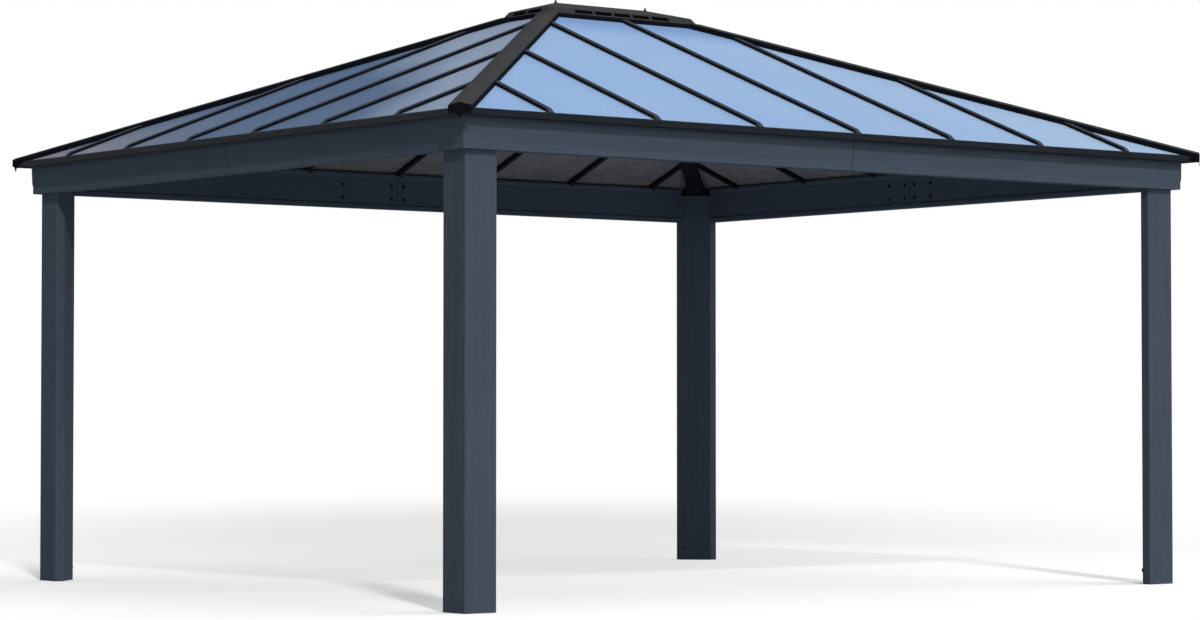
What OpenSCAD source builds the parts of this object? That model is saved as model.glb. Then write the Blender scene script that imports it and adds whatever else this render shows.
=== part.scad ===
// Free-standing carport: four five-sided posts, a flared beam frame and a glazed hip roof
// with a slotted ridge vent.  Millimetres, +Z up, origin on the ground under the ridge centre.

/* [Overall] */
// Length of the roof between its short eaves
roof_l = 4910; // [4600:10:6000]
// Width of the roof between its long eaves
roof_w = 4290; // [3500:10:4400]
// Clear height under the beams
head_h = 2140; // [1700:10:2800]
// Pitch of the four roof slopes, in degrees
roof_pitch = 21; // [15:1:26]
// How far the eaves reach past the outer post faces
eave_reach = 105; // [95:1:140]

/* [Posts] */
// Width of each outer face of a post
post_face = 180; // [140:2:230]
// Width of the two narrow return faces of a post
post_return = 48; // [40:1:64]
// How far the post tops lie below the eave edge of the panels
post_drop = 7; // [6:1:20]
// Bevel on the long edges of a post
post_ease = 4; // [1:0.5:8]

/* [Beams] */
// How far the foot of the fascia stands out from the post face
fascia_foot = 35; // [25:1:40]
// How far the flared top of the fascia stands out from the post face
fascia_head = 47; // [42:1:52]
// Height of the flared fascia
fascia_h = 136; // [110:1:139]
// Height of the plain band along the foot of the fascia
band_h = 36; // [24:1:60]
// Width of the groove above that band
groove_w = 3; // [2:0.5:8]
// Depth of the groove above that band
groove_d = 1.5; // [1:0.5:5]
// How far the lip and the ledge stand in from the inner beam face
inner_lip = 8; // [4:1:14]
// Height of the lip at the foot of the inner beam face
inner_lip_h = 22; // [12:1:40]
// How far the ledge at the top of that face laps the rafter ends
ledge_lap = 7; // [4:1:14]
// Open joint between two lengths of one beam
splice_joint = 0.6; // [0.4:0.1:0.8]
// Bevel on the upright corner of a corner casing
casing_ease = 12; // [4:1:20]

/* [Roof] */
// Height of the panels above the beam foot at the eave edge
eave_rise = 172; // [168:1:190]
// Thickness of the twin-wall panels
panel_t = 8; // [6:1:12]
// Spacing of the glazing bars and of the rafters under them
bar_module = 640; // [480:10:760]
// Shortest end bay that still gets its own bar
end_bay_min = 350; // [300:10:420]
// Width of a glazing bar
bar_w = 32; // [24:1:44]
// Height of a glazing bar above the panels
bar_h = 18; // [10:1:24]
// Length over which the foot of a glazing bar slopes down to the drip edge
bar_taper = 42; // [20:1:60]
// Thickness of the web of a glazing bar between two panels
bar_web = 6; // [4:1:10]
// Width of a rafter
rafter_w = 27; // [22:1:48]
// Depth of a rafter
rafter_d = 24; // [20:1:36]
// Width of a hip rafter
hip_rafter_w = 95; // [70:1:110]
// Depth of a hip rafter
hip_rafter_d = 45; // [36:1:48]
// Thickness of the cap plate on a post top
plate_t = 8; // [3:1:10]
// Width of the ridge beam
ridge_beam_w = 70; // [50:1:90]
// Depth of the ridge beam
ridge_beam_d = 80; // [60:1:110]

/* [Eaves and hip caps] */
// Height of the drip edge along the eaves
drip_h = 30; // [24:1:40]
// Thickness of the drip edge
drip_t = 4; // [3:0.5:6]
// How far the drip edge folds back over the panels
drip_fold = 17; // [12:1:24]
// Width of one wing of a hip cap
hip_wing = 55; // [45:1:70]
// Height of a hip cap above the panels
hip_cap_h = 28; // [18:1:30]
// Sheet thickness of the hip caps, brackets and vent cap
sheet_t = 3; // [2:0.5:4]
// Length of the pointed tongue under the end of a hip cap
tongue_l = 46; // [34:1:60]
// Width of the root of that tongue
tongue_w = 40; // [16:1:70]

/* [Ridge vent] */
// How far the vent cap reaches from the ridge line
vent_reach = 217; // [190:1:240]
// Height of the vent cap above the panels at the ridge
vent_rise = 27; // [22:1:40]
// Width of the slotted face of the vent cap, in plan
vent_face_w = 24; // [18:1:40]
// Length of one vent slot
slot_l = 112; // [80:1:120]
// Width of one vent slot, in plan
slot_w = 15; // [8:1:18]
// Bar of metal left between two slots
slot_gap = 18; // [12:1:24]
// Number of slots on a long side of the vent cap
long_slots = 5; // [3:1:5]
// Number of slots on a short side of the vent cap
short_slots = 2; // [1:1:2]
// Diameter of the studs at the ends of the ridge
stud_d = 10; // [6:1:16]
// Height of the studs at the ends of the ridge
stud_h = 14; // [6:1:18]

/* [Colours] */
// Posts, casings and beams
frame_colour = "#44505a"; // [#44505a:Slate, #3a3f44:Graphite]
// Bars, rafters, brackets and drip edges
dark_colour = "#14171d"; // [#14171d:Near black, #2a2d31:Charcoal]
// Hip caps and vent cap
cap_colour = "#3c3e3c"; // [#3c3e3c:Dark grey, #55585a:Mid grey]
// Roof panels
panel_colour = "#9cbde6"; // [#9cbde6:Sky blue, #c5ccd2:Pale grey]

/* [Hidden] */

// Sides of the frame, counted counter-clockwise from the front
FRONT = 0;
RIGHT = 1;
BACK = 2;
LEFT = 3;

// Clearance left between two pieces that seat on each other
seat = 0.3;
// Height that clears the whole roof, for cutting prisms
cut_h = roof_w;

post_l = roof_l - 2 * eave_reach;
post_w = roof_w - 2 * eave_reach;
ridge_l = roof_l - roof_w;
rise = tan(roof_pitch);
hip_pitch = atan(rise / sqrt(2));
eave_z = head_h + eave_rise;
post_tenon = eave_rise - post_drop;
ridge_z = eave_z + rise * roof_w / 2;

// Half length of an eave, and the distance of that eave from the centre
function half_eave(side) = side % 2 == 0 ? roof_l / 2 : roof_w / 2;
function eave_run(side) = side % 2 == 0 ? roof_w / 2 : roof_l / 2;
// The same two values for the outer post faces
function half_frame(side) = half_eave(side) - eave_reach;
function frame_run(side) = eave_run(side) - eave_reach;

// Bars stand on the centre line of the long slopes and half a module off it on the short ones
function half_bars(side) = floor((half_eave(side) - end_bay_min) / bar_module + (side % 2) / 2);
function bar_places(side) = side % 2 == 0
    ? [for (i = [-half_bars(side) : half_bars(side)]) i * bar_module]
    : [for (i = [-half_bars(side) + 0.5 : half_bars(side) - 0.5]) i * bar_module];

// Height of the panels' top face above the beam foot, at an outward offset from the post face
function panel_top(out) = eave_rise + (eave_reach - out) * rise;
function panel_foot(out) = panel_top(out) - panel_t / cos(roof_pitch);
function rafter_foot(out) = panel_top(out) - (panel_t + rafter_d + seat) / cos(roof_pitch);
function beam_top(out) = rafter_foot(out) - seat;

// Outline of a beam seen along its length: outward offset from the post face, height
function fascia_outline() = [
    [fascia_foot, 0],
    [fascia_foot, band_h],
    [fascia_foot - groove_d, band_h],
    [fascia_foot - groove_d, band_h + groove_w],
    [fascia_foot + 1, band_h + groove_w],
    [fascia_head, fascia_h],
    [fascia_head - 3, beam_top(fascia_head - 3)]
];

// Turns an outline given outward from a side into one given inward
function inward(points) = [for (p = points) [-p[0], p[1]]];

// Runs an outline in Y and Z along +X
module along_x(length) {
    rotate([90, 0, 90])
        linear_extrude(height = length)
            children();
}

// Places children given in the frame of one side: X along it, Y inward from the post faces
module on_side(side) {
    rotate([0, 0, 90 * side])
        translate([0, -frame_run(side), head_h])
            children();
}

// Places children given on one slope: X along the eave, Y up the slope, Z out of the panels
module on_slope(side) {
    rotate([0, 0, 90 * side])
        translate([0, -eave_run(side), eave_z])
            rotate([roof_pitch, 0, 0])
                children();
}

// Mirrors children from the right-hand back quarter to another quarter
module at_corner(sx, sy) {
    multmatrix([[sx, 0, 0, 0], [0, sy, 0, 0], [0, 0, 1, 0], [0, 0, 0, 1]])
        children();
}

// Places children in the upright plane of the hip: X inward from the eave corner, Z up
module on_hip() {
    translate([roof_l / 2, roof_w / 2, eave_z])
        rotate([0, 0, 225])
            children();
}

// Upright prism over the part of a slope between two runs from the eave, short of its hips
module slope_zone(side, hip_gap, run_from, run_to) {
    inset = hip_gap * sqrt(2);
    wide = half_eave(side) - run_from - inset;
    narrow = half_eave(side) - run_to - inset;
    near = run_from - eave_run(side);
    far = run_to - eave_run(side);
    rotate([0, 0, 90 * side])
        linear_extrude(height = head_h + cut_h)
            polygon([[-wide, near], [wide, near], [narrow, far], [-narrow, far]]);
}

// Five-sided plan of a post with its long edges eased
module post_plan() {
    x = post_l / 2;
    y = post_w / 2;
    e = post_ease;
    polygon([
        [x - e, y], [x - post_face + e, y], [x - post_face, y - e],
        [x - post_face, y - post_return], [x - post_return, y - post_face],
        [x - e, y - post_face], [x, y - post_face + e], [x, y - e]
    ]);
}

module post(sx, sy) {
    color(frame_colour)
        at_corner(sx, sy)
            linear_extrude(height = head_h + post_tenon)
                post_plan();
}

// Flared block outline of a corner casing, from the end of a beam to the fascia
module casing_outline(face) {
    polygon(concat(
        [[face - post_face, 0]],
        [for (p = fascia_outline()) [face + p[0], p[1]]],
        [[face, beam_top(0)], [face - post_face, beam_top(0)]]
    ));
}

module casing(sx, sy) {
    x = post_l / 2;
    y = post_w / 2;
    reach = post_face + fascia_head;
    color(frame_colour)
        at_corner(sx, sy)
            translate([0, 0, head_h])
                difference() {
                    intersection() {
                        translate([x - post_face, 0, 0])
                            along_x(reach)
                                casing_outline(y);
                        translate([0, y + fascia_head, 0])
                            rotate([90, 0, 0])
                                linear_extrude(height = reach)
                                    casing_outline(x);
                    }
                    translate([x - 2 * post_face + seat, y - 2 * post_face + seat, -1])
                        cube([2 * post_face, 2 * post_face, 2 * eave_rise]);
                    translate([x + fascia_head, y + fascia_head, 0])
                        rotate([0, 0, 45])
                            cube([2 * casing_ease, 4 * post_face, 4 * eave_rise], center = true);
                }
}

// One beam, in two lengths that meet at a joint in the middle
module beam(side) {
    clear_l = half_frame(side) - post_face - seat - splice_joint / 2;
    inner = -post_return;
    ledge = inner - inner_lip;
    color(frame_colour)
        on_side(side)
            for (start = [-clear_l - splice_joint / 2, splice_joint / 2])
                translate([start, 0, 0])
                    along_x(clear_l)
                        polygon(inward(concat(
                            fascia_outline(),
                            [
                                [inner, beam_top(inner)],
                                [inner, beam_top(ledge) + ledge_lap],
                                [ledge, beam_top(ledge) + ledge_lap],
                                [ledge, beam_top(ledge) - inner_lip],
                                [inner, beam_top(ledge) - 2 * inner_lip],
                                [inner, inner_lip_h + inner_lip],
                                [ledge, inner_lip_h],
                                [ledge, 0]
                            ]
                        )));
}

// Offsets across a hip, square to its slope: depth below the panels' top planes
hip_lean = sin(hip_pitch);
function under_hip(depth) = depth * sqrt(1 + hip_lean * hip_lean);
hip_top = under_hip(panel_t + seat);
hip_rafter_foot = hip_top + hip_rafter_d;
// Where the hip rafter starts, measured along the hip in plan from the eave corner
hip_start = (eave_reach + post_return * 0.75) * sqrt(2);
// Foot line of the hip rafter above the beam foot, at a distance along the hip in plan
function hip_foot(s) = eave_rise + s * tan(hip_pitch) - hip_rafter_foot / cos(hip_pitch);

// Length of a hip from the eave corner to the end of the ridge
hip_l = roof_w / sqrt(2) / cos(hip_pitch);

module hip_rafter(sx, sy) {
    half = hip_rafter_w / 2;
    end_run = roof_w / 2 - ridge_beam_w / 2 - seat;
    color(dark_colour)
        at_corner(sx, sy)
            intersection() {
                on_hip()
                    rotate([0, -hip_pitch, 0])
                        along_x(hip_l)
                            polygon([
                                [0, -hip_top], [-half, -hip_top - half * hip_lean], [-half, -hip_rafter_foot],
                                [half, -hip_rafter_foot], [half, -hip_top - half * hip_lean]
                            ]);
                on_hip()
                    translate([hip_start, -hip_rafter_w, -eave_z])
                        cube([roof_w, 2 * hip_rafter_w, 2 * eave_z]);
                translate([0, roof_w / 2 - end_run, 0])
                    cube([roof_l, roof_w, 2 * eave_z]);
            }
}

// Cap plate on the post top with a saddle that carries the foot of a hip rafter
module bracket(sx, sy) {
    half = hip_rafter_w / 2;
    foot = post_tenon + seat;
    post_edge = (eave_reach + (post_face + post_return) / 2) * sqrt(2);
    flare_end = post_edge + post_face * 0.7;
    cheek_rise = hip_rafter_d / 2;
    plate_start = hip_start + plate_t / tan(hip_pitch);
    saddle = [
        [hip_start, foot], [post_edge, foot], [flare_end, hip_foot(flare_end) - 8],
        [flare_end, hip_foot(flare_end) - seat], [hip_start, hip_foot(hip_start) - seat]
    ];
    cheek = [
        [hip_start, foot], [post_edge, foot], [flare_end, hip_foot(flare_end) - 8],
        [flare_end, hip_foot(flare_end) + cheek_rise], [hip_start, hip_foot(hip_start) + cheek_rise]
    ];
    color(dark_colour)
        at_corner(sx, sy) {
            intersection() {
                translate([0, 0, head_h + foot])
                    linear_extrude(height = plate_t)
                        post_plan();
                on_hip()
                    translate([plate_start, -post_face, -eave_z])
                        cube([roof_w, 2 * post_face, 2 * eave_z]);
            }
            on_hip()
                translate([0, 0, -eave_rise]) {
                    translate([0, half, 0])
                        rotate([90, 0, 0])
                            linear_extrude(height = hip_rafter_w)
                                polygon(saddle);
                    for (y = [-half - seat - sheet_t, half + seat])
                        translate([0, y + sheet_t, 0])
                            rotate([90, 0, 0])
                                linear_extrude(height = sheet_t)
                                    polygon(cheek);
                    translate([0, half + seat + sheet_t, 0])
                        rotate([90, 0, 0])
                            linear_extrude(height = hip_rafter_w + 2 * (seat + sheet_t))
                                polygon([
                                    [hip_start, foot], [post_edge, foot],
                                    [post_edge, foot + sheet_t], [hip_start, foot + sheet_t]
                                ]);
                }
        }
}

module rafters(side) {
    color(dark_colour)
        intersection() {
            on_slope(side)
                for (x = bar_places(side))
                    translate([x - rafter_w / 2, 0, -panel_t - seat - rafter_d])
                        cube([rafter_w, roof_w, rafter_d]);
            slope_zone(side, hip_rafter_w / 2 + seat, eave_reach + post_return + inner_lip + seat,
                roof_w / 2 - ridge_beam_w / 2 - seat);
        }
}

// Solid under the four roof planes, lowered by a depth square to them, inside a plan box
module under_roof(depth, length, width, foot) {
    drop = depth / cos(roof_pitch);
    top = ridge_z - drop;
    intersection() {
        translate([-length / 2, 0, 0])
            along_x(length)
                polygon([
                    [0, top], [-width / 2, top - rise * width / 2], [-width / 2, foot],
                    [width / 2, foot], [width / 2, top - rise * width / 2]
                ]);
        translate([0, width / 2, 0])
            rotate([90, 0, 0])
                linear_extrude(height = width)
                    polygon([
                        [-ridge_l / 2, top], [-length / 2, top - rise * (length - ridge_l) / 2],
                        [-length / 2, foot], [length / 2, foot],
                        [length / 2, top - rise * (length - ridge_l) / 2], [ridge_l / 2, top]
                    ]);
    }
}

module ridge_beam() {
    length = ridge_l + ridge_beam_w + hip_rafter_w * sqrt(2) + 20;
    color(dark_colour)
        under_roof(panel_t + seat, length, ridge_beam_w, ridge_z - panel_t - ridge_beam_d);
}

module panels(side) {
    places = bar_places(side);
    edges = concat([-half_eave(side)], places, [half_eave(side)]);
    side_gap = bar_web / 2 + seat;
    color(panel_colour)
        intersection() {
            on_slope(side)
                for (i = [0 : len(edges) - 2])
                    translate([edges[i] + side_gap, 0, -panel_t])
                        cube([edges[i + 1] - edges[i] - 2 * side_gap, roof_w, panel_t]);
            slope_zone(side, 14, drip_t + seat, roof_w / 2 - 90);
        }
}

module bars(side) {
    foot = (drip_fold + seat) / cos(roof_pitch);
    color(dark_colour)
        intersection() {
            on_slope(side)
                for (x = bar_places(side))
                    translate([x, roof_w, 0])
                        rotate([90, 0, 0])
                            linear_extrude(height = roof_w)
                                polygon([
                                    [-bar_w / 2, seat], [-bar_web / 2, seat], [-bar_web / 2, -panel_t],
                                    [bar_web / 2, -panel_t], [bar_web / 2, seat], [bar_w / 2, seat],
                                    [bar_w / 2, bar_h - 4], [bar_w / 2 - 4, bar_h],
                                    [-bar_w / 2 + 4, bar_h], [-bar_w / 2, bar_h - 4]
                                ]);
            on_slope(side)
                translate([-roof_l / 2, 0, 0])
                    along_x(roof_l)
                        polygon([
                            [0, -2 * panel_t], [roof_w, -2 * panel_t], [roof_w, bar_h + 1],
                            [foot + bar_taper, bar_h + 1], [foot, drip_t], [0, drip_t]
                        ]);
            slope_zone(side, hip_wing + seat, drip_fold + seat, roof_w / 2 - vent_reach - seat);
        }
}

// Drip edge around the panel ends, with the coved soffit under it
module eave(side) {
    back = fascia_head - 3;
    foot = eave_rise + 6 - drip_h;
    cove = foot + 8;
    inner = eave_reach - drip_t;
    fold = eave_reach - drip_fold;
    length = 2 * half_eave(side);
    soffit = [
        [eave_reach, foot],
        [eave_reach, panel_top(eave_reach)],
        [inner - seat, panel_top(eave_reach)],
        [inner - seat, panel_foot(inner - seat) - seat],
        [back, panel_foot(back) - seat],
        [back, beam_top(back) + seat],
        [fascia_head + seat, beam_top(fascia_head) + seat],
        [fascia_head + 4, cove - 8],
        [fascia_head + 10, cove - 4],
        [fascia_head + 18, cove - 1],
        [fascia_head + 28, cove],
        [inner, cove],
        [inner, foot]
    ];
    hook = [
        [eave_reach, panel_top(eave_reach)],
        [eave_reach, panel_top(eave_reach) + drip_t],
        [fold, panel_top(fold) + drip_t],
        [fold, panel_top(fold) + seat],
        [inner - seat, panel_top(inner - seat) + seat],
        [inner - seat, panel_top(eave_reach)]
    ];
    color(dark_colour) {
        intersection() {
            eave_run_of(side, length, soffit);
            slope_zone(side, seat, 0, eave_reach);
        }
        intersection() {
            eave_run_of(side, length, hook);
            slope_zone(side, hip_wing + 2 * seat, 0, eave_reach);
        }
    }
}

// Runs an outline given outward from the post faces along one whole eave
module eave_run_of(side, length, outline) {
    on_side(side)
        translate([-length / 2, 0, 0])
            along_x(length)
                polygon(inward(outline));
}

// Folded channel over the joint of two slopes: half width, crown and foot above the panels
module hip_channel(wing, crown, foot) {
    polygon([
        [0, crown], [-wing, crown - wing * hip_lean], [-wing, foot - wing * hip_lean],
        [0, foot], [wing, foot - wing * hip_lean], [wing, crown - wing * hip_lean]
    ]);
}

module hip_cap(sx, sy) {
    crown = under_hip(hip_cap_h);
    crown_z = crown / cos(hip_pitch);
    wing_z = (crown - hip_wing * hip_lean) / cos(hip_pitch);
    lip_z = 8 - drip_h;
    color(cap_colour)
        at_corner(sx, sy) {
            difference() {
                on_hip()
                    rotate([0, -hip_pitch, 0])
                        translate([-hip_wing, 0, 0])
                            along_x(hip_l + hip_wing)
                                difference() {
                                    hip_channel(hip_wing, crown, under_hip(seat));
                                    hip_channel(hip_wing - sheet_t, crown - under_hip(sheet_t), -crown);
                                }
                on_hip()
                    translate([-roof_w, -roof_w / 2, -eave_z])
                        cube([roof_w, roof_w, 3 * eave_z]);
                cube([ridge_l + 2 * (vent_reach + seat), 2 * (vent_reach + seat), 4 * eave_z], center = true);
            }
            on_hip()
                translate([-sheet_t, 0, 0])
                    along_x(sheet_t)
                        polygon([
                            [0, crown_z], [-hip_wing, wing_z], [-hip_wing, lip_z],
                            [-tongue_w / 2, lip_z], [0, -tongue_l], [tongue_w / 2, lip_z],
                            [hip_wing, lip_z], [hip_wing, wing_z]
                        ]);
        }
}

// Falls of the vent cap from its crown: over the top, down the slotted face and over the rim
vent_crown_fall = 0.272;
vent_face_fall = 1.42;
vent_rim = 12;
vent_crown = vent_reach - vent_face_w - vent_rim;
vent_foot = ridge_z - rise * (vent_reach - sheet_t) + seat;
// Right-hand half of the vent cap seen along a ridge of a half length, pulled in by a sheet
function vent_half(half, sheet, foot) = [
    [half, ridge_z + vent_rise - sheet],
    [half + vent_crown, ridge_z + vent_rise - vent_crown * vent_crown_fall - sheet],
    [
        half + vent_crown + vent_face_w - sheet,
        ridge_z + vent_rise - vent_crown * vent_crown_fall - vent_face_w * vent_face_fall - sheet
    ],
    [
        half + vent_reach - sheet,
        ridge_z + vent_rise - vent_crown * vent_crown_fall - vent_face_w * vent_face_fall - sheet - 2
    ],
    [half + vent_reach - sheet, foot]
];

// The same half followed by its mirror image, as one closed outline
function both_halves(points) = concat(
    points,
    [for (i = [len(points) - 1 : -1 : 0]) [-points[i][0], points[i][1]]]
);

module vent_solid(sheet, foot) {
    length = ridge_l + 2 * vent_reach;
    intersection() {
        translate([-length / 2, 0, 0])
            along_x(length)
                polygon(both_halves(vent_half(0.01, sheet, foot)));
        translate([0, vent_reach, 0])
            rotate([90, 0, 0])
                linear_extrude(height = 2 * vent_reach)
                    polygon(both_halves(vent_half(ridge_l / 2, sheet, foot)));
    }
}

// A row of slots along X, cut straight down through the slotted face; its two ends follow the hips
module slots(count, offset) {
    pitch = slot_l + slot_gap;
    half_row = (count * pitch - slot_gap) / 2;
    translate([0, offset, vent_foot - 1])
        linear_extrude(height = vent_reach)
            difference() {
                polygon([
                    [-half_row, 0], [half_row, 0], [half_row + slot_w, slot_w], [-half_row - slot_w, slot_w]
                ]);
                for (i = [1 : count - 1])
                    translate([i * pitch - half_row - slot_gap, -1])
                        square([slot_gap, slot_w + 2]);
            }
}

module ridge_vent() {
    face_middle = vent_crown + vent_face_w / 2 - slot_w / 2;
    color(cap_colour) {
        difference() {
            vent_solid(0, vent_foot);
            vent_solid(sheet_t, vent_foot - vent_reach);
            for (turn = [0, 180])
                rotate([0, 0, turn])
                    slots(long_slots, face_middle);
            for (turn = [90, 270])
                rotate([0, 0, turn])
                    slots(short_slots, ridge_l / 2 + face_middle);
        }
        for (x = [-ridge_l / 2, ridge_l / 2])
            translate([x, 0, ridge_z + vent_rise - sheet_t / 2])
                cylinder(d = stud_d, h = stud_h + sheet_t / 2, $fn = 24);
    }
}

post(-1, -1);  // post_front_left
post(1, -1);  // post_front_right
post(-1, 1);  // post_back_left
post(1, 1);  // post_back_right
casing(-1, -1);  // casing_front_left
casing(1, -1);  // casing_front_right
casing(-1, 1);  // casing_back_left
casing(1, 1);  // casing_back_right
beam(FRONT);  // beam_front
beam(RIGHT);  // beam_right
beam(BACK);  // beam_back
beam(LEFT);  // beam_left
bracket(-1, -1);  // bracket_front_left
bracket(1, -1);  // bracket_front_right
bracket(-1, 1);  // bracket_back_left
bracket(1, 1);  // bracket_back_right
hip_rafter(-1, -1);  // hip_rafter_front_left
hip_rafter(1, -1);  // hip_rafter_front_right
hip_rafter(-1, 1);  // hip_rafter_back_left
hip_rafter(1, 1);  // hip_rafter_back_right
rafters(FRONT);  // rafters_front
rafters(RIGHT);  // rafters_right
rafters(BACK);  // rafters_back
rafters(LEFT);  // rafters_left
ridge_beam();
panels(FRONT);  // panels_front
panels(RIGHT);  // panels_right
panels(BACK);  // panels_back
panels(LEFT);  // panels_left
bars(FRONT);  // bars_front
bars(RIGHT);  // bars_right
bars(BACK);  // bars_back
bars(LEFT);  // bars_left
eave(FRONT);  // eave_front
eave(RIGHT);  // eave_right
eave(BACK);  // eave_back
eave(LEFT);  // eave_left
hip_cap(-1, -1);  // hip_cap_front_left
hip_cap(1, -1);  // hip_cap_front_right
hip_cap(-1, 1);  // hip_cap_back_left
hip_cap(1, 1);  // hip_cap_back_right
ridge_vent();
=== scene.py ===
import math

import bpy
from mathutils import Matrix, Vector


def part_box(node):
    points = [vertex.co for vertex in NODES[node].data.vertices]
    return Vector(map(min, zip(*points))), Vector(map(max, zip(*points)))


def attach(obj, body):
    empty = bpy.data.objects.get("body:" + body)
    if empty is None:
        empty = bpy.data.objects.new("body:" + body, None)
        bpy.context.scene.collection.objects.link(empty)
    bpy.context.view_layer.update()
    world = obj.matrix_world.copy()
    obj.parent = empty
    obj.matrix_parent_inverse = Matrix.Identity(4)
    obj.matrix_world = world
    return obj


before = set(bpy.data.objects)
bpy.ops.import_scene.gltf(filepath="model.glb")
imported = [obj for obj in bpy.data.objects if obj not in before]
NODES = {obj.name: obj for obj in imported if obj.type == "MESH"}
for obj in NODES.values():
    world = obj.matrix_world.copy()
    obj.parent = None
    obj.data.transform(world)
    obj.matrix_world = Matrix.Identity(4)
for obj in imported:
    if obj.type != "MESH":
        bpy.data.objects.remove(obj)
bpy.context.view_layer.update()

UP = Vector((0, 0, 1))
OUTWARD = {
    "front": Vector((0, -1, 0)),
    "right": Vector((1, 0, 0)),
    "back": Vector((0, 1, 0)),
    "left": Vector((-1, 0, 0)),
}
CORNERS = [
    (f"{deep}_{wide}", sx, sy)
    for deep, sy in (("front", -1), ("back", 1))
    for wide, sx in (("left", -1), ("right", 1))
]
TINY = 1e-4


# ---------------------------------------------------------------- camera and lamps
CAMERA_PLACE = (-11.373, -14.831, 0.9057)
CAMERA_LENS = 102.10
VIEW_YAW = math.radians(52.53)      # heading, from +X towards +Y
VIEW_PITCH = math.radians(1.793)


def direction(azimuth, elevation):
    """Unit vector at an azimuth from the front (-Y) towards +X, and a height, in degrees."""
    a, e = math.radians(azimuth), math.radians(elevation)
    return Vector((math.sin(a) * math.cos(e), -math.cos(a) * math.cos(e), math.sin(e)))


def add_camera():
    camera = bpy.data.objects.new("camera", bpy.data.cameras.new("camera"))
    camera.location = CAMERA_PLACE
    camera.data.lens = CAMERA_LENS
    camera.data.sensor_width = 36.0
    camera.data.clip_end = 500.0
    level = math.cos(VIEW_PITCH)
    ahead = Vector((math.cos(VIEW_YAW) * level, math.sin(VIEW_YAW) * level, math.sin(VIEW_PITCH)))
    camera.rotation_euler = ahead.to_track_quat("-Z", "Y").to_euler()
    bpy.context.scene.collection.objects.link(camera)
    bpy.context.scene.camera = camera


def add_sun(name, azimuth, elevation, strength, spread, tint):
    sun = bpy.data.lights.new(name, "SUN")
    sun.energy = strength
    sun.angle = math.radians(spread)
    sun.color = tint
    lamp = bpy.data.objects.new(name, sun)
    lamp.rotation_euler = direction(azimuth, elevation).to_track_quat("Z", "Y").to_euler()
    bpy.context.scene.collection.objects.link(lamp)


# ---------------------------------------------------------------- node helpers
class Shade:
    """Short calls for building one node tree."""

    def __init__(self, tree):
        self.tree = tree
        tree.nodes.clear()

    def node(self, kind, values=None, **settings):
        """New node, with its settings, and each input linked to a socket or set to a value."""
        made = self.tree.nodes.new("ShaderNode" + kind)
        for key, value in settings.items():
            setattr(made, key, value)
        for key, value in (values or {}).items():
            if isinstance(value, bpy.types.NodeSocket):
                self.tree.links.new(value, made.inputs[key])
            else:
                made.inputs[key].default_value = value
        return made

    def math(self, operation, a, b=0.0, clamp=False):
        return self.node("Math", {0: a, 1: b}, operation=operation, use_clamp=clamp).outputs[0]

    def vector(self, operation, a, b=(0, 0, 0)):
        return self.node("VectorMath", {0: a, 1: b}, operation=operation).outputs

    def ramp(self, value, low, high, to_low=0.0, to_high=1.0, curve="LINEAR"):
        """Value carried from the range low..high to the range to_low..to_high, and held there."""
        return self.node("MapRange", {
            "Value": value, "From Min": low, "From Max": high, "To Min": to_low, "To Max": to_high,
        }, interpolation_type=curve).outputs[0]

    def weighted(self, *pairs):
        """Sum of (value, weight) pairs."""
        total = None
        for value, weight in pairs:
            part = self.math("MULTIPLY", value, weight)
            total = part if total is None else self.math("ADD", total, part)
        return total

    def mix(self, fac, a, b, blend="MIX"):
        return self.node(
            "Mix", {0: fac, 6: a, 7: b}, data_type="RGBA", blend_type=blend,
        ).outputs[2]

    def axes(self):
        """The three object coordinates, in metres."""
        return self.node("SeparateXYZ", {0: self.node("TexCoord").outputs["Object"]}).outputs

    def noise(self, scale, stretch=(1, 1, 1), detail=3.0, rough=0.55):
        coords = self.node("TexCoord").outputs["Object"]
        place = self.node("Mapping", {"Vector": coords, "Scale": stretch}).outputs[0]
        return self.node("TexNoise", {
            "Vector": place, "Scale": scale, "Detail": detail, "Roughness": rough,
        }).outputs["Fac"]

    def normal_z(self):
        normal = self.node("NewGeometry").outputs["Normal"]
        return self.node("SeparateXYZ", {0: normal}).outputs[2]

    def edges(self, radius):
        """1 on sharp edges, 0 on flats."""
        bevel = self.node("Bevel", {"Radius": radius}, samples=4).outputs[0]
        flat = self.node("NewGeometry").outputs["Normal"]
        return self.ramp(self.vector("DOT_PRODUCT", bevel, flat)["Value"], 0.995, 0.93)

    def bump(self, height, distance, strength=1.0, over=None):
        values = {"Height": height, "Distance": distance, "Strength": strength}
        if over is not None:
            values["Normal"] = over
        return self.node("Bump", values).outputs[0]

    def surface(self, values):
        shader = self.node("BsdfPrincipled", values).outputs[0]
        self.node("OutputMaterial", {"Surface": shader})

    def seen(self):
        """1 for camera, glossy and transmission rays, 0 for the light that surfaces exchange."""
        path = self.node("LightPath").outputs
        total = self.math("ADD", path["Is Camera Ray"], path["Is Glossy Ray"])
        return self.math("ADD", total, path["Is Transmission Ray"], clamp=True)


def colour(rgb, gain=1.0):
    return tuple(min(1.0, c * gain) for c in rgb) + (1.0,)


def new_material(name):
    made = bpy.data.materials.new(name)
    made.use_nodes = True
    return made, Shade(made.node_tree)


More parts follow.
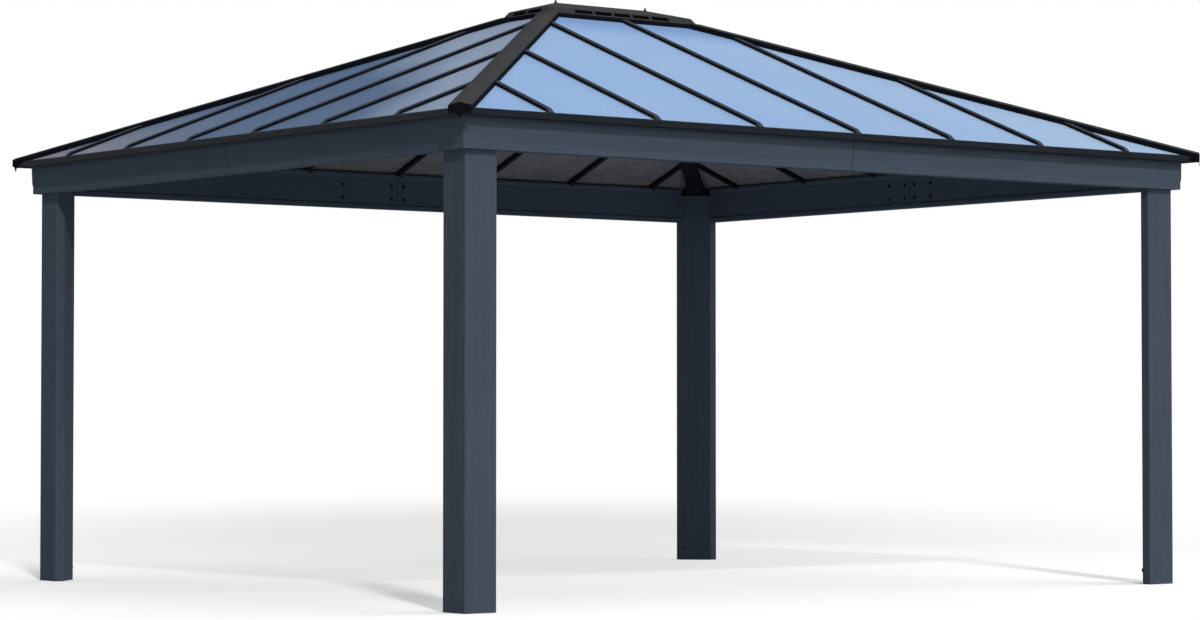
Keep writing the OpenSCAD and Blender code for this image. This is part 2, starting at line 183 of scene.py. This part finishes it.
# ---------------------------------------------------------------- materials
SLATE = (0.0528, 0.0683, 0.0892)
# painted shade: near black for the upright sides of the bars and hip caps
PAINTED_SIDE_SHADE = (0.0050, 0.0060, 0.0085)
UNDERSIDE = (0.130, 0.135, 0.143)
PAINT_GRAIN = 0.15          # how far the grain moves the paint's brightness
PAINT_EDGE_WEAR_AND_HIGHLIGHT = 1.9            # brightness of its lighter edges, partly wear and partly a painted highlight
PAINT_JOINT = 0.2           # brightness of the joint at the middle of a beam
PAINT_BOLT = 0.72           # brightness of the painted bolts low on the posts
JOINT_EDGE = (0.0022, 0.0012)   # half widths at which that joint starts and is full
RIB = 0.0105                # spacing of the inner walls of the panels
WIRE = 0.004                # spacing of the wires of the vent's mesh


def paint(name, base, along):
    """Powder coat with a fine grain along a member, lighter edges that are partly wear and partly a
    painted highlight, and the dark joint at a beam's middle.
    """
    made, s = new_material(name)
    stretch = tuple(0.035 if axis == along else 1.0 for axis in "xyz")
    grain = s.noise(95.0, stretch, 5.0, 0.62)
    streak = s.noise(22.0, stretch, 3.0)
    blotch = s.noise(1.7, detail=2.0)
    speck = s.noise(620.0, detail=1.0)
    tone = s.weighted((grain, 0.42), (streak, 0.26), (blotch, 0.18), (speck, 0.14))
    spread = s.ramp(tone, 0.32, 0.68)
    skin = s.mix(spread, colour(base, 1.0 - PAINT_GRAIN), colour(base, 1.0 + PAINT_GRAIN))
    # lighter edges: partly wear, partly a painted highlight
    edge = s.math("MULTIPLY", s.edges(0.0035), s.ramp(speck, 0.35, 0.75, 0.25, 0.9))
    skin = s.mix(edge, skin, colour(base, PAINT_EDGE_WEAR_AND_HIGHLIGHT))
    if along != "z":
        joint = s.ramp(s.math("ABSOLUTE", s.axes()["xyz".index(along)]), *JOINT_EDGE)
        skin = s.mix(joint, skin, colour(base, PAINT_JOINT))
    s.surface({
        "Base Color": skin,
        "Metallic": 0.05,
        "Roughness": s.ramp(tone, 0.3, 0.7, 0.64, 0.50),
        "Specular IOR Level": 0.0,
        "Normal": s.bump(grain, 0.0007, 0.55, s.bump(speck, 0.0003, 0.35)),
    })
    return made


def dark_metal(name, base, side=None, rough=0.5):
    """Textured dark coat; upright faces take the side colour, a painted shade along the sides."""
    made, s = new_material(name)
    fleck = s.noise(520.0, detail=2.0)
    cloud = s.noise(9.0, detail=4.0)
    tone = s.weighted((fleck, 0.55), (cloud, 0.45))
    spread = s.ramp(tone, 0.35, 0.65)
    skin = s.mix(spread, colour(base, 0.82), colour(base, 1.2))
    # painted shade: upright faces darker than level ones
    if side is not None:
        upright = s.mix(spread, colour(side, 0.8), colour(side, 1.3))
        level = s.ramp(s.math("ABSOLUTE", s.normal_z()), 0.45, 0.6)
        skin = s.mix(level, upright, skin)
    edge = s.math("MULTIPLY", s.edges(0.0025), s.ramp(fleck, 0.4, 0.7, 0.15, 0.6))
    s.surface({
        "Base Color": s.mix(edge, skin, colour(base, 1.8)),
        "Metallic": 0.10,
        "Roughness": s.ramp(tone, 0.3, 0.7, rough + 0.08, rough - 0.06),
        "Specular IOR Level": 0.0,
        "Normal": s.bump(fleck, 0.0004, 0.5),
    })
    return made


def haze(s, scale):
    """Slow unevenness about zero, for the borders of the panels' tints."""
    return s.math("MULTIPLY", s.math("SUBTRACT", s.noise(scale, detail=2.0), 0.5), 0.9)


def long_slope_painted_light(s):
    """Sky blue, paler from one end of the slope to the other as a painted reflection, and deeper
    under the vent as a painted shadow of the vent.
    """
    x, _, z = s.axes()
    up = s.ramp(z, EAVE_Z, RIDGE_Z)
    uneven = haze(s, 0.9)
    # painted reflection: paler towards one end of the slope
    across = s.math("ADD", s.ramp(x, -2.4, 2.4), uneven, clamp=True)
    face = s.mix(across, colour((0.255, 0.398, 0.650)), colour((0.345, 0.478, 0.670)))
    # painted shadow of the vent: a deeper blue high on the slope
    painted_vent_shadow = s.ramp(s.math("ADD", up, s.math("MULTIPLY", uneven, 0.12)), 0.74, 0.86, 0.0, 0.85)
    return s.mix(painted_vent_shadow, face, colour((0.190, 0.310, 0.560)))


def short_slope_painted_light(s):
    """Blue grey, darker than the long slopes as painted shade, with a paler sweep along one hip and
    a lilac end at the other as painted reflections.
    """
    _, y, z = s.axes()
    up = s.ramp(z, EAVE_Z, RIDGE_Z)
    uneven = haze(s, 1.1)
    border = s.math("SUBTRACT", s.math("MULTIPLY", up, 3.1), 1.7)   # y of the sweep's edge
    past = s.math("ADD", s.math("SUBTRACT", y, border), uneven)
    # painted shade in the darker blue grey, painted reflection in the paler sweep
    face = s.mix(
        s.ramp(past, 0.38, -0.38), colour((0.100, 0.163, 0.275)), colour((0.285, 0.360, 0.495)),
    )
    # painted reflection: the lilac end
    end = s.math("MULTIPLY", s.ramp(y, 0.2, 1.5), s.ramp(up, 0.34, 0.02))
    return s.mix(end, face, colour((0.235, 0.240, 0.292)))


def panel(name, tint, along):
    """Twin-wall sheet: tinted top face, whose tint carries painted reflection and shade, with faint
    ribs, and a grey mottled underside.
    """
    made, s = new_material(name)
    turns = s.math("MULTIPLY", s.axes()["xyz".index(along)], 2 * math.pi / RIB)
    rib = s.ramp(s.math("SINE", turns), -1.0, 1.0)
    dust = s.noise(60.0, detail=4.0)
    run = s.noise(1.0, tuple(14.0 if axis == along else 0.5 for axis in "xyz"), 2.0)
    detail = s.ramp(s.weighted((rib, 0.30), (dust, 0.40), (run, 0.30)), 0.25, 0.75)
    marks = s.mix(detail, (0.93, 0.94, 0.955, 1), (1, 1, 1, 1))
    above = s.mix(1.0, tint(s), marks, "MULTIPLY")
    mottle = s.noise(5.0, detail=5.0, rough=0.6)
    fine = s.noise(52.0, detail=2.0)
    grid = s.ramp(s.weighted((rib, 0.22), (mottle, 0.28), (fine, 0.50)), 0.32, 0.68)
    below = s.mix(grid, colour(UNDERSIDE, 0.50), colour(UNDERSIDE, 1.50))
    s.surface({
        "Base Color": s.mix(s.ramp(s.normal_z(), -0.05, 0.05), below, above),
        "Metallic": 0.06,
        "Roughness": s.ramp(dust, 0.3, 0.7, 0.36, 0.28),
        "Specular IOR Level": 0.0,
        "Normal": s.bump(rib, 0.0004, 0.25, s.bump(run, 0.002, 0.15)),
    })
    return made


def mesh_screen(name):
    """Fine dark insect mesh."""
    made, s = new_material(name)
    place = s.axes()
    wires = [
        s.ramp(s.math("SINE", s.math("MULTIPLY", place[i], 2 * math.pi / WIRE)), 0.5, 0.95)
        for i in (0, 1)
    ]
    wire = s.math("MAXIMUM", *wires)
    s.surface({
        "Base Color": s.mix(wire, (0.0008, 0.0008, 0.0010, 1), (0.004, 0.004, 0.005, 1)),
        "Roughness": s.ramp(wire, 0.0, 1.0, 0.8, 0.5),
        "Specular IOR Level": 0.0,
        "Normal": s.bump(wire, 0.0006, 0.6),
    })
    return made


def rubber(name):
    """Matt black gasket."""
    made, s = new_material(name)
    grainy = s.noise(240.0, detail=3.0)
    s.surface({
        "Base Color": s.mix(grainy, (0.0035, 0.0035, 0.004, 1), (0.010, 0.010, 0.011, 1)),
        "Roughness": s.ramp(grainy, 0.3, 0.7, 0.85, 0.65),
        "Specular IOR Level": 0.18,
        "Normal": s.bump(grainy, 0.0003, 0.4),
    })
    return made


def coated_steel(name):
    """Black fasteners, a little brighter on their edges, a painted highlight."""
    made, s = new_material(name)
    fleck = s.noise(900.0, detail=2.0)
    body = s.mix(fleck, (0.0030, 0.0032, 0.0038, 1), (0.0080, 0.0085, 0.0100, 1))
    # painted highlight on the edges
    edge = s.math("MULTIPLY", s.edges(0.0008), 0.7)
    s.surface({
        "Base Color": s.mix(edge, body, (0.030, 0.031, 0.034, 1)),
        "Metallic": 0.15,
        "Roughness": s.ramp(fleck, 0.3, 0.7, 0.42, 0.30),
        "Specular IOR Level": 0.10,
        "Normal": s.bump(fleck, 0.0002, 0.3),
    })
    return made


# ---------------------------------------------------------------- mesh helpers
def piece(name, parts, material):
    """One object from a list of (vertices, faces), riding on the frame."""
    verts, faces = [], []
    for part_verts, part_faces in parts:
        start = len(verts)
        verts += [tuple(v) for v in part_verts]
        faces += [tuple(i + start for i in face) for face in part_faces]
    data = bpy.data.meshes.new(name)
    data.from_pydata(verts, [], faces)
    data.validate()
    data.materials.append(material)
    made = bpy.data.objects.new(name, data)
    bpy.context.scene.collection.objects.link(made)
    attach(made, "root")


def rings(profile, sides, centre, axis, start=0.0):
    """Closed solid of revolution: (radius, height) pairs about an axis through a centre."""
    axis = axis.normalized()
    u = axis.orthogonal().normalized()
    v = axis.cross(u)
    verts = [centre + axis * profile[0][1]]
    for radius, height in profile:
        for i in range(sides):
            t = start + 2 * math.pi * i / sides
            verts.append(centre + axis * height + (u * math.cos(t) + v * math.sin(t)) * radius)
    verts.append(centre + axis * profile[-1][1])
    faces = []
    for k in range(len(profile) - 1):
        a, b = 1 + k * sides, 1 + (k + 1) * sides
        faces += [
            (a + i, a + (i + 1) % sides, b + (i + 1) % sides, b + i) for i in range(sides)
        ]
    last = 1 + (len(profile) - 1) * sides
    faces += [(0, 1 + (i + 1) % sides, 1 + i) for i in range(sides)]
    faces += [(len(verts) - 1, last + i, last + (i + 1) % sides) for i in range(sides)]
    return verts, faces


def bolt(centre, axis, size):
    """Washer and chamfered hexagon head standing on a surface; size is the head's radius."""
    washer = rings([
        (size * 0.9, -0.0004), (size * 1.25, -0.0004), (size * 1.3, 0.0006),
        (size * 1.22, 0.0016), (size * 0.7, 0.0017),
    ], 24, centre, axis)
    head = rings([
        (size * 0.98, 0.001), (size, 0.0016), (size, size * 0.62), (size * 0.88, size * 0.76),
        (size * 0.6, size * 0.78),
    ], 6, centre, axis, 0.3)
    return [washer, head]


def prism(outline, start, end):
    """Closed bar through two points that carries an outline of vectors."""
    count = len(outline)
    verts = [start + p for p in outline] + [end + p for p in outline]
    faces = [tuple(reversed(range(count))), tuple(range(count, 2 * count))]
    faces += [(i, (i + 1) % count, count + (i + 1) % count, count + i) for i in range(count)]
    return verts, faces


def levels(values, gap):
    """Sorted values split into runs wherever two neighbours lie more than a gap apart."""
    runs = []
    for value in sorted(values):
        if runs and value - runs[-1][-1] <= gap:
            runs[-1].append(value)
        else:
            runs.append([value])
    return runs


def points(node):
    return [v.co.copy() for v in NODES[node].data.vertices]


# ---------------------------------------------------------------- sizes read from the frame
front_panels = points("panels_front")
eave_y = min(p.y for p in front_panels)
head_y = max(p.y for p in front_panels)
head_z = max(p.z for p in front_panels if p.y > head_y - TINY)
EAVE_Z = max(p.z for p in front_panels if p.y < eave_y + TINY)
RISE = (head_z - EAVE_Z) / (head_y - eave_y)
RIDGE_Z = EAVE_Z - RISE * eave_y
SLOPE = math.atan(RISE)
MEMBER_GAP = 0.1            # less than the space between two bars or rafters, more than their width


class Side:
    """One side of the roof: its outward and along directions, and the plane of its panels."""

    def __init__(self, name):
        self.name = name
        self.out = OUTWARD[name]
        self.along = UP.cross(self.out)
        self.reach = max(corner.dot(self.out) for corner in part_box("eave_" + name))
        start = max(p.dot(self.out) for p in points("panels_" + name))
        self.eave_z = EAVE_Z + RISE * (start - self.reach)
        self.up_slope = (UP * math.sin(SLOPE) - self.out * math.cos(SLOPE)).normalized()
        self.face = (UP * math.cos(SLOPE) + self.out * math.sin(SLOPE)).normalized()

    def at(self, along, run, proud):
        """Point on the slope: along the eave, up the slope from the eave edge, and out of it."""
        origin = self.out * self.reach + UP * self.eave_z
        return origin + self.along * along + self.up_slope * run + self.face * proud

    def bars(self):
        """Each bar's place along the eave, two ends measured up the slope, and half width."""
        found = []
        corners = points("bars_" + self.name)
        for run in levels([p.dot(self.along) for p in corners], MEMBER_GAP):
            low, high = run[0], run[-1]
            ends = [
                (self.reach - p.dot(self.out)) / math.cos(SLOPE)
                for p in corners if low - 1e-5 <= p.dot(self.along) <= high + 1e-5
            ]
            found.append(((low + high) / 2, min(ends), max(ends), (high - low) / 2))
        return found


SIDES = [Side(name) for name in ("front", "right", "back", "left")]


# ---------------------------------------------------------------- world and floor
def add_world():
    """Weak cool light on the object, and plain white to the camera and in reflections."""
    world = bpy.data.worlds.new("studio")
    bpy.context.scene.world = world
    world.use_nodes = True
    s = Shade(world.node_tree)
    sky = s.node("Background", {"Color": (0.96, 0.98, 1.0, 1), "Strength": 0.33})
    white = s.node("Background", {"Color": (1, 1, 1, 1), "Strength": 1.0})
    mixed = s.node("MixShader", {0: s.seen(), 1: sky.outputs[0], 2: white.outputs[0]})
    s.node("OutputWorld", {"Surface": mixed.outputs[0]})


SHADOW_FADE = (4.0, 0.9)        # distances from a post foot where its shadow starts and is full
UNDER_ROOF_X = (-1.9, -0.9)     # under the roof the shadows thin out, over these two ranges
UNDER_ROOF_Y = (-0.3, 1.0)
UNDER_ROOF_LESS = 0.62
SHADE_CENTRE = (4.2, 6.9, 0.0)  # painted broad soft shade, an oval that lies along the view
SHADE_HALF_LENGTH, SHADE_HALF_WIDTH = 13.0, 5.6
SHADE_FADE = (1.15, 0.1)        # where it starts and is full, as shares of the oval
SHADE_FULL = 0.78
GLOW_LESS = 0.80                # how much of the plain white the real shadows replace
BOUNCE = (0.64, 0.665, 0.70, 1) # floor colour that lights the underside of the roof


def post_shadows(s, plan):
    """1 near the post feet, where the real shadows show, and less of it under the roof."""
    near = None
    for name, _, _ in CORNERS:
        low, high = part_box("post_" + name)
        foot = ((low.x + high.x) / 2, (low.y + high.y) / 2, 0.0)
        away = s.vector("LENGTH", s.vector("SUBTRACT", plan, foot)[0])["Value"]
        reach = s.ramp(away, *SHADOW_FADE, curve="SMOOTHSTEP")
        near = reach if near is None else s.math("MAXIMUM", near, reach)
    x, y, _ = s.axes()
    inside = s.math("MULTIPLY", s.ramp(x, *UNDER_ROOF_X), s.ramp(y, *UNDER_ROOF_Y))
    return s.math("MULTIPLY", near, s.math(
        "SUBTRACT", 1.0, s.math("MULTIPLY", inside, UNDER_ROOF_LESS),
    ))


def painted_floor_shade(s, plan):
    """Painted shade: brightness of the floor under and behind the roof, 1 outside a soft oval."""
    c, d = math.cos(VIEW_YAW), math.sin(VIEW_YAW)
    offset = s.vector("SUBTRACT", plan, SHADE_CENTRE)[0]
    ahead = (c / SHADE_HALF_LENGTH, d / SHADE_HALF_LENGTH, 0)
    aside = (d / SHADE_HALF_WIDTH, -c / SHADE_HALF_WIDTH, 0)
    length = s.vector("DOT_PRODUCT", offset, ahead)["Value"]
    width = s.vector("DOT_PRODUCT", offset, aside)["Value"]
    oval = s.node("CombineXYZ", {0: length, 1: width, 2: 0.0}).outputs[0]
    wide = s.vector("LENGTH", oval)["Value"]
    return s.ramp(wide, *SHADE_FADE, 1.0, SHADE_FULL, "SMOOTHSTEP")


def add_floor():
    """White floor with real shadows near the posts and a painted soft shade, and a plain grey one
    to diffuse light.
    """
    bpy.ops.mesh.primitive_plane_add(size=600.0, location=(0, 0, 0))
    floor = bpy.context.object
    floor.name = "studio_floor"
    material, s = new_material("studio_floor")
    x, y, _ = s.axes()
    plan = s.node("CombineXYZ", {0: x, 1: y, 2: 0.0}).outputs[0]
    weight = post_shadows(s, plan)
    dimmed = s.math("SUBTRACT", 1.0, s.math("MULTIPLY", weight, GLOW_LESS))
    glow = s.node("Emission", {
        "Color": (1, 1, 1, 1), "Strength": s.math("MULTIPLY", painted_floor_shade(s, plan), dimmed),
    })
    albedo = s.node("CombineXYZ", {0: weight, 1: weight, 2: weight}).outputs[0]
    pale = s.node("BsdfDiffuse", {"Color": albedo})
    lit = s.node("AddShader", {0: pale.outputs[0], 1: glow.outputs[0]})
    grey = s.node("BsdfDiffuse", {"Color": BOUNCE})
    ground = s.node("MixShader", {0: s.seen(), 1: grey.outputs[0], 2: lit.outputs[0]})
    s.node("OutputMaterial", {"Surface": ground.outputs[0]})
    floor.data.materials.append(material)


add_camera()
# name, azimuth, elevation, strength, spread of the lamp, tint
add_sun("key", -24, 34, 1.72, 4.0, (1.0, 0.985, 0.96))
add_sun("fill", 52, 32, 1.36, 80.0, (0.97, 0.985, 1.0))
add_sun("low_fill", 62, 7, 0.52, 16.0, (0.97, 0.985, 1.0))
add_sun("back_fill", 150, 32, 0.30, 80.0, (0.98, 0.99, 1.0))
add_world()
add_floor()


# ---------------------------------------------------------------- finishes of the CAD nodes
paint_z = paint("slate_paint_upright", SLATE, "z")
bolt_paint = paint("bolt_paint", tuple(PAINT_BOLT * c for c in SLATE), "z")
paint_x = paint("slate_paint_long", SLATE, "x")
paint_y = paint("slate_paint_cross", SLATE, "y")
bar_coat = dark_metal("bar_coat", (0.040, 0.046, 0.064), PAINTED_SIDE_SHADE)
cap_coat = dark_metal("cap_coat", (0.040, 0.043, 0.045), PAINTED_SIDE_SHADE, 0.55)
drip_coat = dark_metal("drip_coat", (0.014, 0.017, 0.021))
# painted light: a lighter copy of the drip coat for the drip edges of the left and right sides
drip_coat_painted_light = dark_metal("drip_coat_painted_light", (0.029, 0.032, 0.036))
rafter_coat = dark_metal("rafter_coat", (0.010, 0.011, 0.014))
sky_sheet = panel("panel_long", long_slope_painted_light, "x")
grey_sheet = panel("panel_short", short_slope_painted_light, "y")
screen = mesh_screen("vent_screen")
gasket = rubber("gasket_rubber")
steel = coated_steel("coated_steel")

# by the start of a node's name: its finish, and the one on the left and right sides if it differs
FINISHES = {
    "post": (paint_z,),
    "casing": (paint_x,),
    "beam": (paint_x, paint_y),
    "bracket": (rafter_coat,),
    "hip_cap": (cap_coat,),
    "hip_rafter": (rafter_coat,),
    "rafters": (rafter_coat,),
    "ridge_vent": (cap_coat,),
    "ridge_beam": (rafter_coat,),
    "panels": (sky_sheet, grey_sheet),
    "bars": (bar_coat,),
    # the left and right drip edges take the lighter copy, painted light
    "eave": (drip_coat, drip_coat_painted_light),
}
for name, node in NODES.items():
    finish = next(found for start, found in FINISHES.items() if name.startswith(start))
    crosswise = name.endswith(("_left", "_right"))
    for slot in node.material_slots:
        slot.material = finish[-1] if crosswise else finish[0]


# ---------------------------------------------------------------- small pieces
FOOT_BOLT_SPREAD = 0.07         # from the middle of the post's inner face
FOOT_BOLT_HEIGHT = 0.07
SPLICE_ROWS = (0.057, 0.135)    # heights above the foot of the beam
SPLICE_NEAR = 0.042             # from the joint of the beam
SPLICE_FAR = {"front": 0.39, "right": 0.18, "back": 0.39, "left": 0.18}
SADDLE_SHARES = (0.42, 0.66)    # places along the saddle, as shares from its outer end
SADDLE_DROP = 0.018             # below the line of the saddle's upper edge
VENT_RIM = 0.012                # flat lip round the vent, then its slotted face
VENT_FACE = 0.024
SCREEN_DROP = 0.0046            # below the slotted face
SCREEN_END_GAP = 0.006
SCREEN_THICK = 0.0012
RAFTER_BOLT_BESIDE = 0.024      # from the middle of the rafter
RAFTER_BOLT_DROP = 0.011        # below the top of the ledge
GASKET = (                      # outline: beyond the side of the bar, above the panel
    (-0.002, 0.0003), (0.0035, 0.0003), (0.0042, 0.0016), (0.0028, 0.0034), (-0.002, 0.0045),
)
SLAB_FACES = [(3, 2, 1, 0), (4, 5, 6, 7), (0, 1, 5, 4), (1, 2, 6, 5), (2, 3, 7, 6), (3, 0, 4, 7)]


def foot_bolts():
    """Two bolts low on the diagonal inner face of each post."""
    parts = []
    for name, sx, sy in CORNERS:
        corners = [p for p in points("post_" + name) if p.z < TINY]
        inner_x = min(corners, key=lambda p: p.x * sx).x
        inner_y = min(corners, key=lambda p: p.y * sy).y
        p = min((c for c in corners if abs(c.x - inner_x) < TINY), key=lambda c: c.y * sy)
        q = min((c for c in corners if abs(c.y - inner_y) < TINY), key=lambda c: c.x * sx)
        across = (q - p).normalized()
        inward = Vector((-sx, -sy, 0)).normalized()
        for hand in (-1, 1):
            foot = (p + q) / 2 + across * (FOOT_BOLT_SPREAD * hand)
            parts += bolt(foot + UP * FOOT_BOLT_HEIGHT, inward, size=0.0085)
    return parts


def beam_faces(side):
    """Distances out from the centre of the ledge and of the inner face of a beam."""
    return sorted({round(p.dot(side.out), 4) for p in points("beam_" + side.name)})[:2]


def splice_bolts():
    """Two rows of bolts each side of the joint at the middle of each beam."""
    parts = []
    for side in SIDES:
        inner = beam_faces(side)[1]
        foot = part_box("beam_" + side.name)[0].z
        far = SPLICE_FAR[side.name]
        for shift in (-far, -SPLICE_NEAR, SPLICE_NEAR, far):
            for height in SPLICE_ROWS:
                centre = side.out * inner + side.along * shift + UP * (foot + height)
                parts += bolt(centre, -side.out, size=0.0092)
    return parts


def rafter_bolts():
    """One bolt in the ledge beside the foot of each rafter."""
    parts = []
    for side in SIDES:
        ledge = beam_faces(side)[0]
        on_ledge = [p for p in points("beam_" + side.name) if abs(p.dot(side.out) - ledge) < 1e-3]
        top = max(p.z for p in on_ledge)
        rafters = [p.dot(side.along) for p in points("rafters_" + side.name)]
        for run in levels(rafters, MEMBER_GAP):
            beside = (run[0] + run[-1]) / 2 - RAFTER_BOLT_BESIDE
            centre = side.out * ledge + side.along * beside + UP * (top - RAFTER_BOLT_DROP)
            parts += bolt(centre, -side.out, size=0.0062)
    return parts


def bracket_bolts():
    """Two bolts through each cheek of the hip rafter saddles."""
    parts = []
    for name, sx, sy in CORNERS:
        inward = Vector((-sx, -sy, 0)).normalized()
        across = inward.cross(UP)
        corners = points("bracket_" + name)
        middle = sum(corners, Vector()) / len(corners)
        centre = Vector((middle.x, middle.y, 0))
        runs = [(p - centre).dot(inward) for p in corners]
        first, last = min(runs), max(runs)
        low_top = max(p.z for p, run in zip(corners, runs) if run < first + 1e-3)
        high_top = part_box("bracket_" + name)[1].z
        cheek = max(
            abs((p - centre).dot(across)) for p, run in zip(corners, runs) if run > last - 1e-3
        )
        for share in SADDLE_SHARES:
            run = first + (last - first) * share
            height = low_top + (high_top - low_top) * share - SADDLE_DROP
            for hand in (-1, 1):
                place = centre + inward * run + across * (cheek * hand) + UP * height
                parts += bolt(place, across * hand, size=0.008)
    return parts


def gaskets():
    """Rubber lines along both sides of each bar."""
    parts = []
    for side in SIDES:
        for place, low, high, half in side.bars():
            for hand in (-1, 1):
                outline = [
                    side.along * (hand * (half + beyond)) + side.face * above
                    for beyond, above in GASKET
                ]
                if hand > 0:
                    outline.reverse()
                inset = 0.02 if high - low > 0.1 else 0.004
                foot, head = side.at(place, low + 0.003, 0), side.at(place, high - inset, 0)
                parts.append(prism(outline, foot, head))
    return parts


def vent_screens():
    """Mesh strips a little inside the slotted faces of the ridge vent."""
    corners = points("ridge_vent")
    parts = []
    for side in SIDES:
        reach = max(p.dot(side.out) for p in corners)
        length = max(p.dot(side.along) for p in corners)
        hip = [
            p for p in corners
            if abs((length - abs(p.dot(side.along))) - (reach - p.dot(side.out))) < 2e-4
        ]
        lip = reach - VENT_RIM
        top = []
        for edge, inset, hands in ((lip - VENT_FACE, 0.0022, (-1, 1)), (lip, 0.0052, (1, -1))):
            z = max(p.z for p in hip if abs(p.dot(side.out) - edge) < 1e-3) - SCREEN_DROP
            out = edge - inset
            half = length - reach + out - SCREEN_END_GAP
            top += [side.out * out + side.along * (half * hand) + UP * z for hand in hands]
        parts.append((top + [v - UP * SCREEN_THICK - side.out * 0.0008 for v in top], SLAB_FACES))
    return parts


def stud_nuts():
    """Washer and low nut at the foot of each stud on the ridge."""
    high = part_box("ridge_vent")[1].z
    corners = points("ridge_vent")
    crown = max(p.z for p in corners if p.z < high - 0.002)
    parts = []
    for run in levels([p.x for p in corners if p.z > high - TINY], 0.05):
        foot = Vector(((run[0] + run[-1]) / 2, 0, crown))
        parts.append(rings([
            (0.0060, -0.0010), (0.0100, -0.0010), (0.0100, 0.0008), (0.0070, 0.0012),
        ], 24, foot, UP))
        parts.append(rings([
            (0.0066, 0.0010), (0.0080, 0.0013), (0.0080, 0.0036), (0.0070, 0.0043),
            (0.0052, 0.0044),
        ], 6, foot, UP))
    return parts


piece("foot_bolts", foot_bolts(), bolt_paint)
piece("splice_bolts", splice_bolts(), steel)
piece("rafter_bolts", rafter_bolts(), steel)
piece("bracket_bolts", bracket_bolts(), steel)
piece("bar_gaskets", gaskets(), gasket)
piece("vent_screens", vent_screens(), screen)
piece("stud_nuts", stud_nuts(), steel)

bpy.context.scene.view_settings.view_transform = "Standard"
